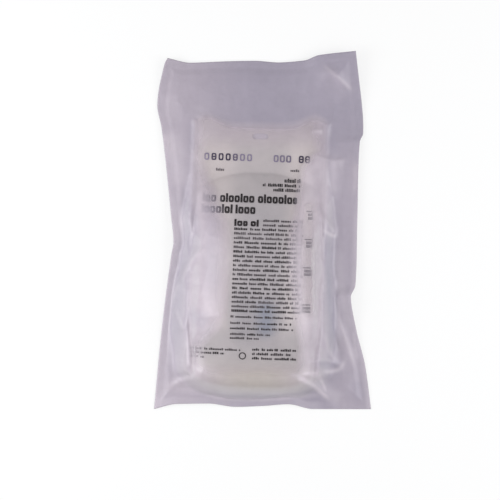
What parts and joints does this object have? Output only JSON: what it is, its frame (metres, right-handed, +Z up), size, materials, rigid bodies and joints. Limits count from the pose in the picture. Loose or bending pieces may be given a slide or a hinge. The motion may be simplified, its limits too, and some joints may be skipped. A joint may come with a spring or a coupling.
{
  "type": "infusion bag in overwrap",
  "caption": "Soft infusion bag of clear fluid, its ports folded up behind it, sealed in a frosted overwrap pouch and lying on its back.",
  "frame": {"origin": "centre of the pack's footprint, on the floor it lies on", "axes": "+Z up out of the printed face, +Y towards the bag's hanger end, +X to the right as the print is read"},
  "size_m": [0.1692, 0.2782, 0.0347],
  "materials": {
    "overwrap_film": "frosted translucent film, faintly lavender",
    "bag_vinyl": "soft translucent vinyl, faintly cream",
    "fluid": "clear liquid",
    "port_vinyl": "milky soft vinyl tube",
    "port_cover": "blue moulded plastic",
    "septum_rubber": "matt tan rubber"
  },
  "bodies": {
    "root": {"overwrap_front_film": "overwrap_film", "overwrap_back_film": "overwrap_film", "bag_front_sheet": "bag_vinyl", "bag_back_sheet": "bag_vinyl", "saline_solution": "fluid", "administration_port_tube": "port_vinyl", "administration_port_membrane": "port_vinyl", "port_cover": "port_cover", "injection_port_tube": "port_vinyl", "injection_port_septum": "septum_rubber", "injection_port_band": "port_vinyl"}
  },
  "joints": []
}
